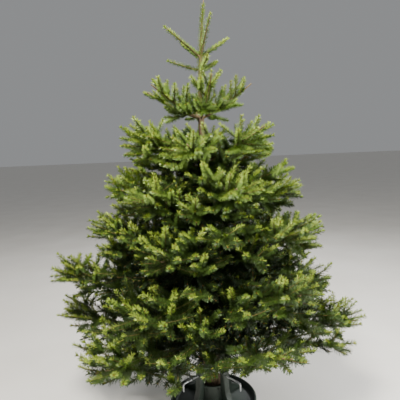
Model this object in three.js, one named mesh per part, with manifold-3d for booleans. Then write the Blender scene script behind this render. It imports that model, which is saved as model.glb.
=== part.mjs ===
// A cut fir sold as a christmas tree, about two metres tall, clamped upright in a dish stand.
// Millimetres, +Z up. The origin is the centre of the stand's flat underside.
// -Y is the front of the tree and +X its right side.

import * as THREE from "three";
import { mergeVertices } from "three/addons/utils/BufferGeometryUtils.js";
import Module from "manifold-3d";

const wasm = await Module();
wasm.setup();

// Driving dimensions
const OVERALL_HEIGHT = 2060; // floor to the leader's tip
const BUTT_RADIUS = 50;
const LEADER_TIP_RADIUS = 2.5;
const TRUNK_TAPER = 1.15; // 1 is a straight cone, more is slimmer in the upper half
const TRUNK_BOW = -6; // how far the stem bows sideways at the kink
const KINK_HEIGHT = 1480;
const LEADER_OFFSET = 33; // how far the leader's tip stands off to the right
const GAP = 0.3; // clearance between pieces that touch
const SEED = 2611;

const STAND_RADIUS = 226;
const RIM_HEIGHT = 46;
const WELL_RADIUS = 72;
const WELL_FLOOR = 10;
const COLLAR_HEIGHT = 142;
const COLLAR_WALL = 8;
const POST_HEIGHT = 215;
const POST_WIDTH = 34;
const POSTS = 4;
const FIRST_POST_AZIMUTH = 42;
const SCREW_HEIGHT = 195;
const SCREW_RADIUS = 4.5;
const SCREW_REACH = 196; // from the trunk's axis to the bend
const SCREW_HANDLE = 44;
const SCREW_SIDES = 6;
const STAND_SEGMENTS = 24;

// The foliage of a limb: from which share of its reach it stands, half its breadth as a share of the
// limb's length, the teeth on each of its blades and the sprigs to its sides
const SLIM = { start: 0.1, breadth: 0.12, teeth: 3, sprigs: 0 };
const SHORT = { start: 0.1, breadth: 0.27, teeth: 4, sprigs: 0 };
const FULL = { start: 0.1, breadth: 0.33, teeth: 4, sprigs: 2 };
const BEYOND_BOUGH = { ...FULL, start: 0.26 };

// The tiers of limbs, from the top down. height is where the limbs leave the trunk, reach how far
// their tips stand from it, rise how far the tips stand above that height, and sag the dip halfway.
// skew makes the limbs on the right longer and those on the left shorter, by that share. front
// is the share of its reach that a limb straight to the front has, and lift its further rise. Every
// other limb stands stagger higher, the ones between as much lower.
const TIERS = [
  {
    ...SLIM, height: 1765, limbs: 4, turn: 208, reach: 190, rise: 110, bend: 1,
    skew: -0.14, front: 0.4, lift: 75,
  },
  { ...SLIM, height: 1706, limbs: 3, turn: 166, reach: 135, rise: 42, bend: 1.2, skew: -0.1 },
  {
    ...SHORT, height: 1480, limbs: 6, turn: 162, reach: 280, rise: 158, bend: 1.25,
    skew: -0.06, stagger: 20,
  },
  {
    ...FULL, height: 1275, limbs: 6, turn: 200, reach: 392, rise: 128, bend: 1.3,
    skew: -0.02, stagger: 40,
  },
  {
    ...FULL, height: 1068, limbs: 6, turn: 168, reach: 476, rise: 96, bend: 1.3,
    skew: -0.05, stagger: 36,
  },
  {
    ...FULL, height: 858, limbs: 5, turn: 178, reach: 566, rise: 84, bend: 1.4,
    skew: -0.03, sag: 6, stagger: 40,
  },
  {
    ...BEYOND_BOUGH, height: 640, limbs: 6, turn: 184, reach: 672, rise: 84, bend: 1.5,
    skew: -0.07, sag: 12, stagger: 36,
  },
  {
    ...BEYOND_BOUGH, height: 408, limbs: 6, turn: 172, reach: 765, rise: 85, bend: 1.6,
    sag: 14, lift: 95, stagger: 30,
  },
].map((tier) => ({ skew: 0, sag: 0, front: 1, lift: 0, stagger: 0, ...tier }));
const BOUGHED_TIERS = 2; // the lowest tiers have bare boughs with the foliage beyond them
const BOUGH_SHARE = 0.25; // of the reach, bare
const AZIMUTH_SPREAD = 5;
const REACH_SPREAD = 0.06;
const RISE_SPREAD = 16;

// The foliage of a limb is made of sprigs. A sprig is a slim core with toothed blades of needles
// standing off it all round: its wings, each with an angle about the stem and a share of the
// sprig's half width. Each tooth of a wing is the tip of one shoot.
const LIMB_WINGS = [
  { angle: -6, width: 1 },
  { angle: 42, width: 1.05 },
  { angle: 90, width: 1 },
  { angle: 138, width: 1.05 },
  { angle: 186, width: 1 },
  { angle: 270, width: 1 },
];
const SIDE_WINGS = [
  { angle: -8, width: 1 },
  { angle: 90, width: 0.66 },
  { angle: 188, width: 1 },
];
const SIDE_HALF_WIDTH = 0.36; // a share of the sprig's length
const CORE_RADIUS = 0.05;
const WING_TURN_SPREAD = 8;
const TEETH_START = 0.08; // the stretch of a sprig's length that its teeth stand on
const TEETH_STRETCH = 0.7;
const FULL_FROM = 0.3; // the part of a half wave that the lengths of the teeth follow
const FULL_TO = 0.8;
const NOTCH_DEPTH = 0.6; // how far a notch between two teeth cuts in towards the stem
const SHORTEST_TOOTH = 0.8; // teeth differ from this share of the full width up to 1.2 times it
const FIRST_SHOOT_ANGLE = 76; // between a stem and the shoots along its sides, from its foot
const LAST_SHOOT_ANGLE = 44; // to its tip
const SHORTER = [1, 0.85, 0.7, 0.55, 0.4, 0.28]; // lengths a shoot is tried at, to stay in its space
const SHORTEST = 0.2; // and the length of what stays where none of them fits
const SPACE_MARGIN = 3;
const TRUNK_MARGIN = 8;
const SPACE_REACH = 1.2; // a tier presses on the one below it out to this share of its own reach
const LOWEST_FOLIAGE = 255;

// The stem of a limb
const LIMB_ROOT_RADIUS = 3; // and a share of the limb's length more
const LIMB_THICKENING = 1 / 110;
const LIMB_TIP_RADIUS = 2.4;
const STEM_END = 0.42; // past it the stem is inside the sprig
const ROOTED = 0.5; // how deep in the trunk a limb starts, as a share of the trunk's radius

// The side sprigs of a limb, in the order in which tiers take them up
const SIDE_SPRIGS = [
  { share: 0.42, side: 1, angle: 56, lift: 8, size: 0.42 },
  { share: 0.46, side: -1, angle: 56, lift: 4, size: 0.42 },
];
const SIDE_TURN_SPREAD = 5;
const SIDE_LIFT_SPREAD = 9;
const SIDE_SIZE_SPREAD = 0.1;
const THREE_TEETH_FROM = 190; // shorter side sprigs have two teeth on a wing

const radians = THREE.MathUtils.degToRad;
const UP = new THREE.Vector3(0, 0, 1);

// A stream of numbers from 0 to 1 that is the same for the same seed
function seeded(seed) {
  let state = seed >>> 0;
  return () => {
    state = (state + 0x6d2b79f5) >>> 0;
    let t = state;
    t = Math.imul(t ^ (t >>> 15), t | 1);
    t ^= t + Math.imul(t ^ (t >>> 7), t | 61);
    return ((t ^ (t >>> 14)) >>> 0) / 4294967296;
  };
}

// Solids and meshes

function solidOf(geometry) {
  const bare = new THREE.BufferGeometry();
  bare.setAttribute("position", geometry.getAttribute("position"));
  if (geometry.index) bare.setIndex(geometry.index);
  const merged = mergeVertices(bare, 1e-4);
  return new wasm.Manifold(
    new wasm.Mesh({
      numProp: 3,
      vertProperties: new Float32Array(merged.attributes.position.array),
      triVerts: new Uint32Array(merged.index.array),
    }),
  );
}

// The mesh of a solid without what fusing leaves over: of its closed shells only the largest stays,
// so a hollow sealed between sprays is filled and a scrap cut loose is dropped.
function geometryOf(solid) {
  const mesh = solid.getMesh();
  const at = mesh.vertProperties;
  const triangles = mesh.triVerts;
  const parent = Array.from({ length: at.length / 3 }, (_, i) => i);
  const rootOf = (i) => {
    while (parent[i] !== i) i = parent[i] = parent[parent[i]];
    return i;
  };
  const owners = new Map();
  const vertexAt = parent.map((_, i) => {
    const key = `${at[3 * i]},${at[3 * i + 1]},${at[3 * i + 2]}`;
    if (!owners.has(key)) owners.set(key, i);
    return owners.get(key);
  });
  for (let t = 0; t < triangles.length; t += 3) {
    for (const corner of [1, 2]) {
      const a = rootOf(vertexAt[triangles[t]]);
      parent[rootOf(vertexAt[triangles[t + corner]])] = a;
    }
  }
  const volumes = new Map();
  const corner = (i) => new THREE.Vector3(at[3 * i], at[3 * i + 1], at[3 * i + 2]);
  for (let t = 0; t < triangles.length; t += 3) {
    const shell = rootOf(vertexAt[triangles[t]]);
    const [a, b, c] = [0, 1, 2].map((k) => corner(triangles[t + k]));
    volumes.set(shell, (volumes.get(shell) ?? 0) + a.dot(b.cross(c)) / 6);
  }
  const largest = [...volumes].sort((a, b) => b[1] - a[1])[0][0];
  const kept = [];
  for (let t = 0; t < triangles.length; t += 3) {
    if (rootOf(vertexAt[triangles[t]]) !== largest) continue;
    kept.push(triangles[t], triangles[t + 1], triangles[t + 2]);
  }
  const geometry = new THREE.BufferGeometry();
  geometry.setAttribute("position", new THREE.BufferAttribute(new Float32Array(at), 3));
  geometry.setIndex(kept);
  const merged = mergeVertices(geometry, 1e-4);
  merged.computeVertexNormals();
  return merged;
}

function fused(solids) {
  return solids.reduce((whole, solid) => whole.add(solid));
}

// A limb with flat ends: a ring of corners at each step along pointAt(0..1), closed at both ends
function taperedLimb(pointAt, radiusAt, sides, steps) {
  const corners = [];
  const faces = [];
  for (let step = 0; step <= steps; step++) {
    const share = step / steps;
    const centre = pointAt(share);
    const before = pointAt(Math.max(0, share - 0.01));
    const along = pointAt(Math.min(1, share + 0.01)).sub(before).normalize();
    const across = new THREE.Vector3(0, 1, 0).cross(along);
    if (Math.abs(along.z) < 0.9) across.crossVectors(along, UP);
    across.normalize();
    const over = across.clone().cross(along).negate();
    for (let side = 0; side < sides; side++) {
      const turn = (2 * Math.PI * side) / sides;
      const corner = centre
        .clone()
        .addScaledVector(across, radiusAt(share) * Math.cos(turn))
        .addScaledVector(over, radiusAt(share) * Math.sin(turn));
      corners.push(corner.x, corner.y, corner.z);
    }
  }
  const ring = (step, side) => step * sides + (side % sides);
  for (let step = 0; step < steps; step++) {
    for (let side = 0; side < sides; side++) {
      faces.push(ring(step, side), ring(step, side + 1), ring(step + 1, side + 1));
      faces.push(ring(step, side), ring(step + 1, side + 1), ring(step + 1, side));
    }
  }
  for (let side = 1; side < sides - 1; side++) {
    faces.push(ring(0, 0), ring(0, side + 1), ring(0, side));
    faces.push(ring(steps, 0), ring(steps, side), ring(steps, side + 1));
  }
  const geometry = new THREE.BufferGeometry();
  geometry.setAttribute("position", new THREE.BufferAttribute(new Float32Array(corners), 3));
  geometry.setIndex(faces);
  return solidOf(geometry);
}

// The trunk

function trunkRadius(height) {
  const left = 1 - height / OVERALL_HEIGHT;
  return LEADER_TIP_RADIUS + (BUTT_RADIUS - LEADER_TIP_RADIUS) * left ** TRUNK_TAPER;
}

function trunkOffset(height) {
  const bow = TRUNK_BOW * Math.min(1, height / KINK_HEIGHT) ** 2;
  const above = Math.max(0, (height - KINK_HEIGHT) / (OVERALL_HEIGHT - KINK_HEIGHT));
  return bow + (LEADER_OFFSET - TRUNK_BOW) * above ** 2;
}

function trunkPoint(height) {
  return new THREE.Vector3(trunkOffset(height), 0, height);
}

const BUTT_HEIGHT = WELL_FLOOR + GAP;
const TRUNK_SIDES = 10;
const TRUNK_STEPS = 12;
const LEADER_NEEDLES = 10;
const LOWEST_NEEDLE = 1830;
const HIGHEST_NEEDLE = OVERALL_HEIGHT - 35;
const NEEDLE_OUT = 22;
const NEEDLE_UP = 20;
const NEEDLE_ROOT_RADIUS = 2.4;
const NEEDLE_TIP_RADIUS = 0.5;
const NEEDLE_TURN = 137.5; // from one needle to the next round the stem

function trunkShape(grown) {
  const heightAt = (share) => THREE.MathUtils.lerp(BUTT_HEIGHT, OVERALL_HEIGHT, share);
  const radiusAt = (share) => trunkRadius(heightAt(share)) + grown;
  return taperedLimb((share) => trunkPoint(heightAt(share)), radiusAt, TRUNK_SIDES, TRUNK_STEPS);
}

// A stout needle on the leader: a three-sided spike with its root in the wood
function leaderNeedle(height, azimuth) {
  const out = new THREE.Vector3(Math.cos(azimuth), Math.sin(azimuth), 0);
  const root = trunkPoint(height);
  const tip = root.clone().addScaledVector(out, NEEDLE_OUT).addScaledVector(UP, NEEDLE_UP);
  const radiusAt = (share) => THREE.MathUtils.lerp(NEEDLE_ROOT_RADIUS, NEEDLE_TIP_RADIUS, share);
  return taperedLimb((share) => root.clone().lerp(tip, share), radiusAt, 3, 1);
}

function trunkSolid() {
  const pieces = [trunkShape(0)];
  for (let i = 0; i < LEADER_NEEDLES; i++) {
    const height = THREE.MathUtils.lerp(LOWEST_NEEDLE, HIGHEST_NEEDLE, i / (LEADER_NEEDLES - 1));
    pieces.push(leaderNeedle(height, radians(NEEDLE_TURN * i)));
  }
  return fused(pieces);
}

const trunkWithClearance = trunkShape(GAP / Math.cos(Math.PI / TRUNK_SIDES));

// The limbs: one rule for all tiers

function limbsOf(tier, tierIndex) {
  return Array.from({ length: tier.limbs }, (_, i) => {
    const random = seeded(SEED + 100 * tierIndex + i);
    const spread = () => 2 * random() - 1;
    const azimuth = radians(tier.turn + (360 * i) / tier.limbs + AZIMUTH_SPREAD * spread());
    const facing = Math.max(0, -Math.sin(azimuth)) ** 2;
    const shape = (1 + tier.skew * Math.cos(azimuth)) * (1 + (tier.front - 1) * facing);
    const reach = tier.reach * shape * (1 + REACH_SPREAD * spread());
    const stagger = tier.stagger * (i % 2 === 0 ? 1 : -1);
    const rise = tier.rise + stagger + tier.lift * facing + RISE_SPREAD * spread();
    return { tier, tierIndex, index: i, azimuth, reach, rise, length: Math.hypot(reach, rise) };
  });
}

// The height above the trunk's joint of a limb, a share of the way out
function limbHeight(tier, rise, share) {
  return tier.height + rise * share ** tier.bend - tier.sag * Math.sin(Math.PI * Math.min(1, share));
}

function limbPoint(limb, share) {
  const out = share * limb.reach;
  return new THREE.Vector3(
    trunkOffset(limb.tier.height) + out * Math.cos(limb.azimuth),
    out * Math.sin(limb.azimuth),
    limbHeight(limb.tier, limb.rise, share),
  );
}

function limbRadius(limb, share) {
  const root = LIMB_ROOT_RADIUS + limb.length * LIMB_THICKENING;
  return THREE.MathUtils.lerp(root, LIMB_TIP_RADIUS, share);
}

// The middle surface of a tier, and the surface halfway to the tier below it
function tierHeight(tier, out) {
  const share = out / tier.reach;
  if (share <= 1) return limbHeight(tier, tier.rise, share);
  return tier.height + tier.rise + (share - 1) * tier.rise * tier.bend;
}

function boundary(upper, lower, out) {
  return (tierHeight(upper, out) + tierHeight(lower, out)) / 2;
}

// Each limb's foliage keeps to its own space: a sector between its neighbours, and a layer
// between the tiers above and below
function insideSpace(point, limb, limbs) {
  const x = point.x - trunkOffset(limb.tier.height);
  const out = Math.hypot(x, point.y);
  if (out < trunkRadius(limb.tier.height) + TRUNK_MARGIN) return false;
  const last = limbs.length - 1;
  const circle = 2 * Math.PI;
  const before = limb.index === 0 ? limbs[last].azimuth - circle : limbs[limb.index - 1].azimuth;
  const after = limb.index === last ? limbs[0].azimuth + circle : limbs[limb.index + 1].azimuth;
  const turned = Math.atan2(point.y, x) - limb.azimuth;
  const turn = turned - circle * Math.round(turned / circle);
  const slack = SPACE_MARGIN / out;
  if (turn < (before - limb.azimuth) / 2 + slack) return false;
  if (turn > (after - limb.azimuth) / 2 - slack) return false;
  const above = TIERS[limb.tierIndex - 1];
  const below = TIERS[limb.tierIndex + 1];
  if (above && out < SPACE_REACH * above.reach) {
    if (point.z > boundary(above, limb.tier, out) - SPACE_MARGIN) return false;
  }
  return point.z > (below ? boundary(limb.tier, below, out) + SPACE_MARGIN : LOWEST_FOLIAGE);
}

// One wing of a sprig: its teeth, and a notch between each two, as points {along, out, turn}. along is
// a share of the sprig's length and out the distance from its stem. A shoot that leaves the space it
// grows in is tried shorter.
function sprigWing({ angle, width }, length, halfWidth, teeth, random, place) {
  const turn = radians(angle + WING_TURN_SPREAD * (2 * random() - 1));
  const onShoot = (where, out) => {
    const lean = radians(THREE.MathUtils.lerp(FIRST_SHOOT_ANGLE, LAST_SHOOT_ANGLE, where));
    return { along: TEETH_START + TEETH_STRETCH * where + out / (Math.tan(lean) * length), out, turn };
  };
  const longest = (where, out) =>
    SHORTER.map((share) => onShoot(where, share * out)).find((point) => place(point).inside) ??
    onShoot(where, SHORTEST * out);
  const points = [];
  for (let i = 0; i < teeth; i++) {
    const wave = THREE.MathUtils.lerp(FULL_FROM, FULL_TO, (i + 0.5) / teeth);
    const full = width * halfWidth * Math.sin(Math.PI * wave);
    const size = SHORTEST_TOOTH + 2 * (1 - SHORTEST_TOOTH) * random();
    points.push(longest(i / teeth, size * full));
    points.push(longest((i + 0.5) / teeth, (1 - NOTCH_DEPTH) * full));
  }
  return points;
}

// A sprig as one closed solid: wings round a stem, with a valley between each two. place sets a
// point {along, out, turn} in space.
function sprigSolid(place, wings, coreRadius, teeth) {
  const corners = [];
  const faces = [];
  const add = (point) => corners.push(place(point)) - 1;
  const stops = Math.max(1, teeth - 1);
  const base = add({ along: 0, out: 0, turn: 0 });
  const tip = add({ along: 1, out: 0, turn: 0 });
  const rims = wings.map((points) => [base, ...points.map(add), tip]);
  const valleys = wings.map((points, i) => {
    const from = points[0].turn;
    const next = wings[(i + 1) % wings.length][0].turn + (i === wings.length - 1 ? 2 * Math.PI : 0);
    return Array.from({ length: stops }, (_, stop) =>
      add({
        along: TEETH_START + (TEETH_STRETCH * (stop + 0.3)) / teeth,
        out: coreRadius * (1 - (0.6 * stop) / stops),
        turn: (from + next) / 2,
      }),
    );
  });
  rims.forEach((rim, i) => {
    for (const toNext of [true, false]) {
      const valley = toNext ? valleys[i] : valleys[(i + valleys.length - 1) % valleys.length];
      const face = (a, b, c) => faces.push(...(toNext ? [a, b, c] : [a, c, b]));
      let stop = 0;
      for (let corner = 0; corner + 1 < rim.length; corner++) {
        const next = Math.min(stops - 1, Math.floor(corner / 2));
        if (next > stop) face(valley[stop], rim[corner], valley[next]);
        stop = next;
        face(valley[stop], rim[corner], rim[corner + 1]);
      }
    }
  });
  const geometry = new THREE.BufferGeometry();
  const positions = new Float32Array(corners.flatMap((corner) => corner.toArray()));
  geometry.setAttribute("position", new THREE.BufferAttribute(positions, 3));
  geometry.setIndex(faces);
  return solidOf(geometry);
}

// The limb's own directions: along it, to its right, and square to both
function limbFrame(limb, share) {
  const step = 0.02;
  const forward = limbPoint(limb, share + step).sub(limbPoint(limb, share - step)).normalize();
  const right = forward.clone().cross(UP).normalize();
  return { forward, right, top: right.clone().cross(forward) };
}

function sprigRandom(limb, number) {
  return seeded(SEED + 10000 + 1000 * limb.tierIndex + 100 * limb.index + number);
}

// The sprig that follows the limb's own curve out to its tip, from the tier's start, a share of the
// reach, and with the tier's breadth, a share of the limb's length
function limbSprig(limb, limbs) {
  const random = sprigRandom(limb, 0);
  const { teeth, start, breadth } = limb.tier;
  const place = ({ along, out, turn }) => {
    const share = THREE.MathUtils.lerp(start, 1, along);
    const { right, top } = limbFrame(limb, share);
    const point = limbPoint(limb, share)
      .addScaledVector(right, out * Math.cos(turn))
      .addScaledVector(top, out * Math.sin(turn));
    return Object.assign(point, { inside: insideSpace(point, limb, limbs) });
  };
  const length = (1 - start) * limb.length;
  const halfWidth = breadth * limb.length;
  const wings = LIMB_WINGS.map((wing) => sprigWing(wing, length, halfWidth, teeth, random, place));
  return sprigSolid(place, wings, CORE_RADIUS * limb.length, teeth);
}

// A straight sprig from a share of the limb, turned off it by angle and lifted. Where its tip
// leaves the limb's space it is tried shorter, and then left out.
function sideSprig(limb, limbs, number, { share, side, angle, lift, size }) {
  const random = sprigRandom(limb, number);
  const spread = (most) => radians(most * (2 * random() - 1));
  const { forward, right, top } = limbFrame(limb, share);
  const turned = radians(angle) + spread(SIDE_TURN_SPREAD);
  const stem = forward
    .clone()
    .multiplyScalar(Math.cos(turned))
    .addScaledVector(right, side * Math.sin(turned))
    .addScaledVector(top, Math.tan(radians(lift) + spread(SIDE_LIFT_SPREAD)))
    .normalize();
  const across = stem.clone().cross(top).normalize();
  const over = across.clone().cross(stem);
  const full = size * limb.length * (1 + SIDE_SIZE_SPREAD * (2 * random() - 1));
  const root = limbPoint(limb, share);
  const placeAt = (length) => ({ along, out, turn }) => {
    const point = root
      .clone()
      .addScaledVector(stem, along * length)
      .addScaledVector(across, out * Math.cos(turn))
      .addScaledVector(over, out * Math.sin(turn));
    return Object.assign(point, { inside: insideSpace(point, limb, limbs) });
  };
  const reaches = (length) => placeAt(length)({ along: 1, out: 0, turn: 0 }).inside;
  const length = SHORTER.map((part) => part * full).find(reaches);
  if (!length) return [];
  const teeth = length > THREE_TEETH_FROM ? 3 : 2;
  const halfWidth = SIDE_HALF_WIDTH * length;
  const place = placeAt(length);
  const wings = SIDE_WINGS.map((wing) => sprigWing(wing, length, halfWidth, teeth, random, place));
  return [sprigSolid(place, wings, LIMB_TIP_RADIUS + CORE_RADIUS * length, teeth)];
}

function hasBough(limb) {
  return limb.tierIndex >= TIERS.length - BOUGHED_TIERS;
}

function limbStretch(limb, from, to, sides, steps) {
  const shareAt = (share) => THREE.MathUtils.lerp(from, to, share);
  return taperedLimb(
    (share) => limbPoint(limb, shareAt(share)),
    (share) => limbRadius(limb, shareAt(share)),
    sides,
    steps,
  );
}

function innerShare(limb) {
  return (ROOTED * trunkRadius(limb.tier.height)) / limb.reach;
}

function boughSolid(limb) {
  return limbStretch(limb, innerShare(limb), BOUGH_SHARE, 5, 3).subtract(trunkWithClearance);
}

// One mass of foliage: a short stem, the sprig along the limb, and sprigs to its sides
function massSolid(limb, limbs) {
  const start = hasBough(limb) ? BOUGH_SHARE + GAP / limb.length : innerShare(limb);
  const stem = limbStretch(limb, start, STEM_END, 3, 2);
  const sprigs = SIDE_SPRIGS.slice(0, limb.tier.sprigs).flatMap((sprig, i) =>
    sideSprig(limb, limbs, i + 1, sprig),
  );
  const whole = fused([stem, limbSprig(limb, limbs), ...sprigs]);
  return hasBough(limb) ? whole : whole.subtract(trunkWithClearance);
}

// The stand: one moulded dish with a well for the butt, and a post with a buttress for each screw

function standSection() {
  const wall = WELL_RADIUS + COLLAR_WALL;
  const points = [
    [0, WELL_FLOOR],
    [WELL_RADIUS, WELL_FLOOR],
    [WELL_RADIUS, COLLAR_HEIGHT],
    [wall, COLLAR_HEIGHT],
    [wall + 3, 46],
    [wall + 16, 30],
    [STAND_RADIUS - 32, 14],
    [STAND_RADIUS - 22, 20],
    [STAND_RADIUS - 12, RIM_HEIGHT - 3],
    [STAND_RADIUS - 6, RIM_HEIGHT],
    [STAND_RADIUS, RIM_HEIGHT - 6],
    [STAND_RADIUS - 8, 0],
    [STAND_RADIUS - 18, 0],
    [STAND_RADIUS - 26, 8],
    [wall + 12, 22],
    [wall, 22],
    [wall, 0],
    [0, 0],
  ];
  return points.reverse().map(([out, height]) => new THREE.Vector2(out, height));
}

function postSection() {
  const inner = WELL_RADIUS + 2;
  const points = [
    [inner, COLLAR_HEIGHT - 40],
    [inner, POST_HEIGHT],
    [inner + 20, POST_HEIGHT],
    [inner + 26, POST_HEIGHT - 8],
    [inner + 34, 110],
    [inner + 52, 66],
    [STAND_RADIUS - 50, 36],
    [STAND_RADIUS - 20, 30],
    [STAND_RADIUS - 20, 16],
    [inner + 18, 26],
  ];
  return new THREE.Shape(points.map(([out, height]) => new THREE.Vector2(out, height)));
}

function postAzimuth(index) {
  return radians(FIRST_POST_AZIMUTH + (360 * index) / POSTS);
}

// A solid drawn in the plane through the axis, along +X, turned round to its post
function turnedToPost(geometry, index) {
  return solidOf(geometry.clone().applyMatrix4(new THREE.Matrix4().makeRotationZ(postAzimuth(index))));
}

function screwHole() {
  const radius = SCREW_RADIUS + GAP / Math.cos(Math.PI / SCREW_SIDES);
  const hole = new THREE.CylinderGeometry(radius, radius, 2 * POST_WIDTH, SCREW_SIDES);
  hole.rotateZ(Math.PI / 2);
  hole.translate(WELL_RADIUS + POST_WIDTH / 2, 0, SCREW_HEIGHT);
  return hole;
}

function standSolid() {
  const dish = new THREE.LatheGeometry(standSection(), STAND_SEGMENTS);
  dish.rotateX(Math.PI / 2);
  const post = new THREE.ExtrudeGeometry(postSection(), { depth: POST_WIDTH, bevelEnabled: false });
  post.translate(0, 0, -POST_WIDTH / 2);
  post.rotateX(Math.PI / 2);
  const indices = Array.from({ length: POSTS }, (_, i) => i);
  const whole = fused([solidOf(dish), ...indices.map((i) => turnedToPost(post, i))]);
  const holes = fused(indices.map((i) => turnedToPost(screwHole(), i)));
  return whole.subtract(holes);
}

// A round steel screw through its post, with its outer end turned down as a handle
function screwSolid(index) {
  const inner = 0.8 * BUTT_RADIUS; // inside the trunk, which is then cut away
  const rod = new THREE.CylinderGeometry(SCREW_RADIUS, SCREW_RADIUS, SCREW_REACH - inner, SCREW_SIDES);
  rod.rotateZ(Math.PI / 2);
  rod.translate((SCREW_REACH + inner) / 2, 0, SCREW_HEIGHT);
  const handle = new THREE.CylinderGeometry(SCREW_RADIUS, SCREW_RADIUS, SCREW_HANDLE, SCREW_SIDES);
  handle.rotateX(Math.PI / 2);
  handle.rotateZ(Math.PI / SCREW_SIDES);
  handle.translate(SCREW_REACH, 0, SCREW_HEIGHT + SCREW_RADIUS + 1 - SCREW_HANDLE / 2);
  const whole = turnedToPost(rod, index).add(turnedToPost(handle, index));
  return whole.subtract(trunkWithClearance);
}

// Finishes

function finish(colour, roughness, metalness = 0) {
  return new THREE.MeshStandardMaterial({ color: colour, roughness, metalness, flatShading: true });
}

const bark = finish(0x5b4636, 0.9);
const boughBark = finish(0x6b5a42, 0.88);
const plastic = finish(0x2f3a31, 0.42);
const steel = finish(0xc9ccce, 0.3, 1);

function needleGreen(tierIndex) {
  const old = new THREE.Color(0x3f5f2c);
  const young = new THREE.Color(0x87a045);
  return finish(old.lerp(young, 0.25 + 0.6 * (1 - tierIndex / (TIERS.length - 1))), 0.6);
}

function piece(name, solid, material) {
  const mesh = new THREE.Mesh(geometryOf(solid), material);
  mesh.name = name;
  return mesh;
}

// The tree in its stand

const tree = new THREE.Group();
tree.add(piece("trunk", trunkSolid(), bark));
tree.add(piece("stand_dish", standSolid(), plastic));
for (let i = 0; i < POSTS; i++) tree.add(piece(`clamp_screw_${i + 1}`, screwSolid(i), steel));

TIERS.forEach((tier, tierIndex) => {
  const limbs = limbsOf(tier, tierIndex);
  const green = needleGreen(tierIndex);
  for (const limb of limbs) {
    const place = `tier${tierIndex + 1}_${limb.index + 1}`;
    if (hasBough(limb)) tree.add(piece(`bough_${place}`, boughSolid(limb), boughBark));
    tree.add(piece(`foliage_${place}`, massSolid(limb, limbs), green));
  }
});

export default tree;
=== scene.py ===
import itertools
import math

import bpy
import numpy as np
from mathutils import Matrix, Vector, noise


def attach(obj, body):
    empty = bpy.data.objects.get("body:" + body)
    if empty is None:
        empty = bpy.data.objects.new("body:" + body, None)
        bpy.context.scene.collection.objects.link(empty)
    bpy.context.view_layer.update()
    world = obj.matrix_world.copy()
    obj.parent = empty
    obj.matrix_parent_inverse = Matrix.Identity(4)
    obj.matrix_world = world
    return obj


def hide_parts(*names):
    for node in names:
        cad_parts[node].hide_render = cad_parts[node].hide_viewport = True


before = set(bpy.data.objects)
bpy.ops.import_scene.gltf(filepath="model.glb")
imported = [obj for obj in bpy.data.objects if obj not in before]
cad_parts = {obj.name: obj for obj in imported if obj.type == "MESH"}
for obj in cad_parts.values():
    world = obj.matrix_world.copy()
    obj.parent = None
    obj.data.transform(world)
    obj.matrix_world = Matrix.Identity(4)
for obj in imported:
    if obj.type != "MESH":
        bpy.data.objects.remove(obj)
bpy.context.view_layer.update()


# The trunk
# One stem of fir wood under thin grey-brown bark, sawn flat at the butt and tapering to the tip of the
# leader. Each limb leaves it in a swollen collar, and the limbs stand in tiers, one for each year.

OVERALL_HEIGHT = 2.06
BUTT_RADIUS = 0.05
LEADER_TIP_RADIUS = 0.0025
TRUNK_TAPER = 1.15
TRUNK_BOW = -0.006
KINK_HEIGHT = 1.48
LEADER_OFFSET = 0.033
BUTT_HEIGHT = 0.0103
SEED = 2611
UP = np.array([0.0, 0.0, 1.0])

# From the top down: where the limbs leave the trunk, how many there are and where the first one points,
# how far their tips stand off and rise, and how their line bends and sags. skew makes them longer on the
# right, front is the share of its reach that a limb straight to the front has, and lift its further rise.
# Every other limb stands stagger higher, the ones between as much lower.
TIERS = [
    dict(height=1.765, limbs=4, turn=208, reach=0.190, rise=0.110, bend=1.0, skew=-0.14,
         front=0.4, lift=0.075),
    dict(height=1.706, limbs=3, turn=166, reach=0.135, rise=0.042, bend=1.2, skew=-0.1),
    dict(height=1.480, limbs=6, turn=162, reach=0.280, rise=0.158, bend=1.25, skew=-0.06, stagger=0.020),
    dict(height=1.275, limbs=6, turn=200, reach=0.392, rise=0.128, bend=1.3, skew=-0.02, stagger=0.040),
    dict(height=1.068, limbs=6, turn=168, reach=0.476, rise=0.096, bend=1.3, skew=-0.05, stagger=0.036),
    dict(height=0.858, limbs=5, turn=178, reach=0.566, rise=0.084, bend=1.4, skew=-0.03, stagger=0.040,
         sag=0.006),
    dict(height=0.640, limbs=6, turn=184, reach=0.672, rise=0.084, bend=1.5, skew=-0.07, stagger=0.036,
         sag=0.012),
    dict(height=0.408, limbs=6, turn=172, reach=0.765, rise=0.085, bend=1.6, skew=0, stagger=0.030,
         sag=0.014, lift=0.095),
]
THIRD, FOURTH, LOWEST = 2, 3, len(TIERS) - 1  # the numbers of tiers that differ from the rest
for number, tier in enumerate(TIERS):
    for name, value in dict(sag=0, front=1, lift=0, stagger=0).items():
        tier.setdefault(name, value)
    tier["number"] = number
AZIMUTH_SPREAD = 5
REACH_SPREAD = 0.06
RISE_SPREAD = 0.016
LIMB_ROOT_RADIUS = 0.003  # and a small part of its length more
LIMB_SLENDERNESS = 110
LIMB_TIP_RADIUS = 0.0024
WORD = 0xFFFFFFFF  # the largest number of 32 bits


def trunk_radius(height):
    left = np.maximum(0, 1 - np.asarray(height) / OVERALL_HEIGHT)
    return LEADER_TIP_RADIUS + (BUTT_RADIUS - LEADER_TIP_RADIUS) * left**TRUNK_TAPER


def trunk_offset(height):
    bow = TRUNK_BOW * np.minimum(1, np.asarray(height) / KINK_HEIGHT) ** 2
    above = np.maximum(0, (np.asarray(height) - KINK_HEIGHT) / (OVERALL_HEIGHT - KINK_HEIGHT))
    return bow + (LEADER_OFFSET - TRUNK_BOW) * above**2


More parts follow.
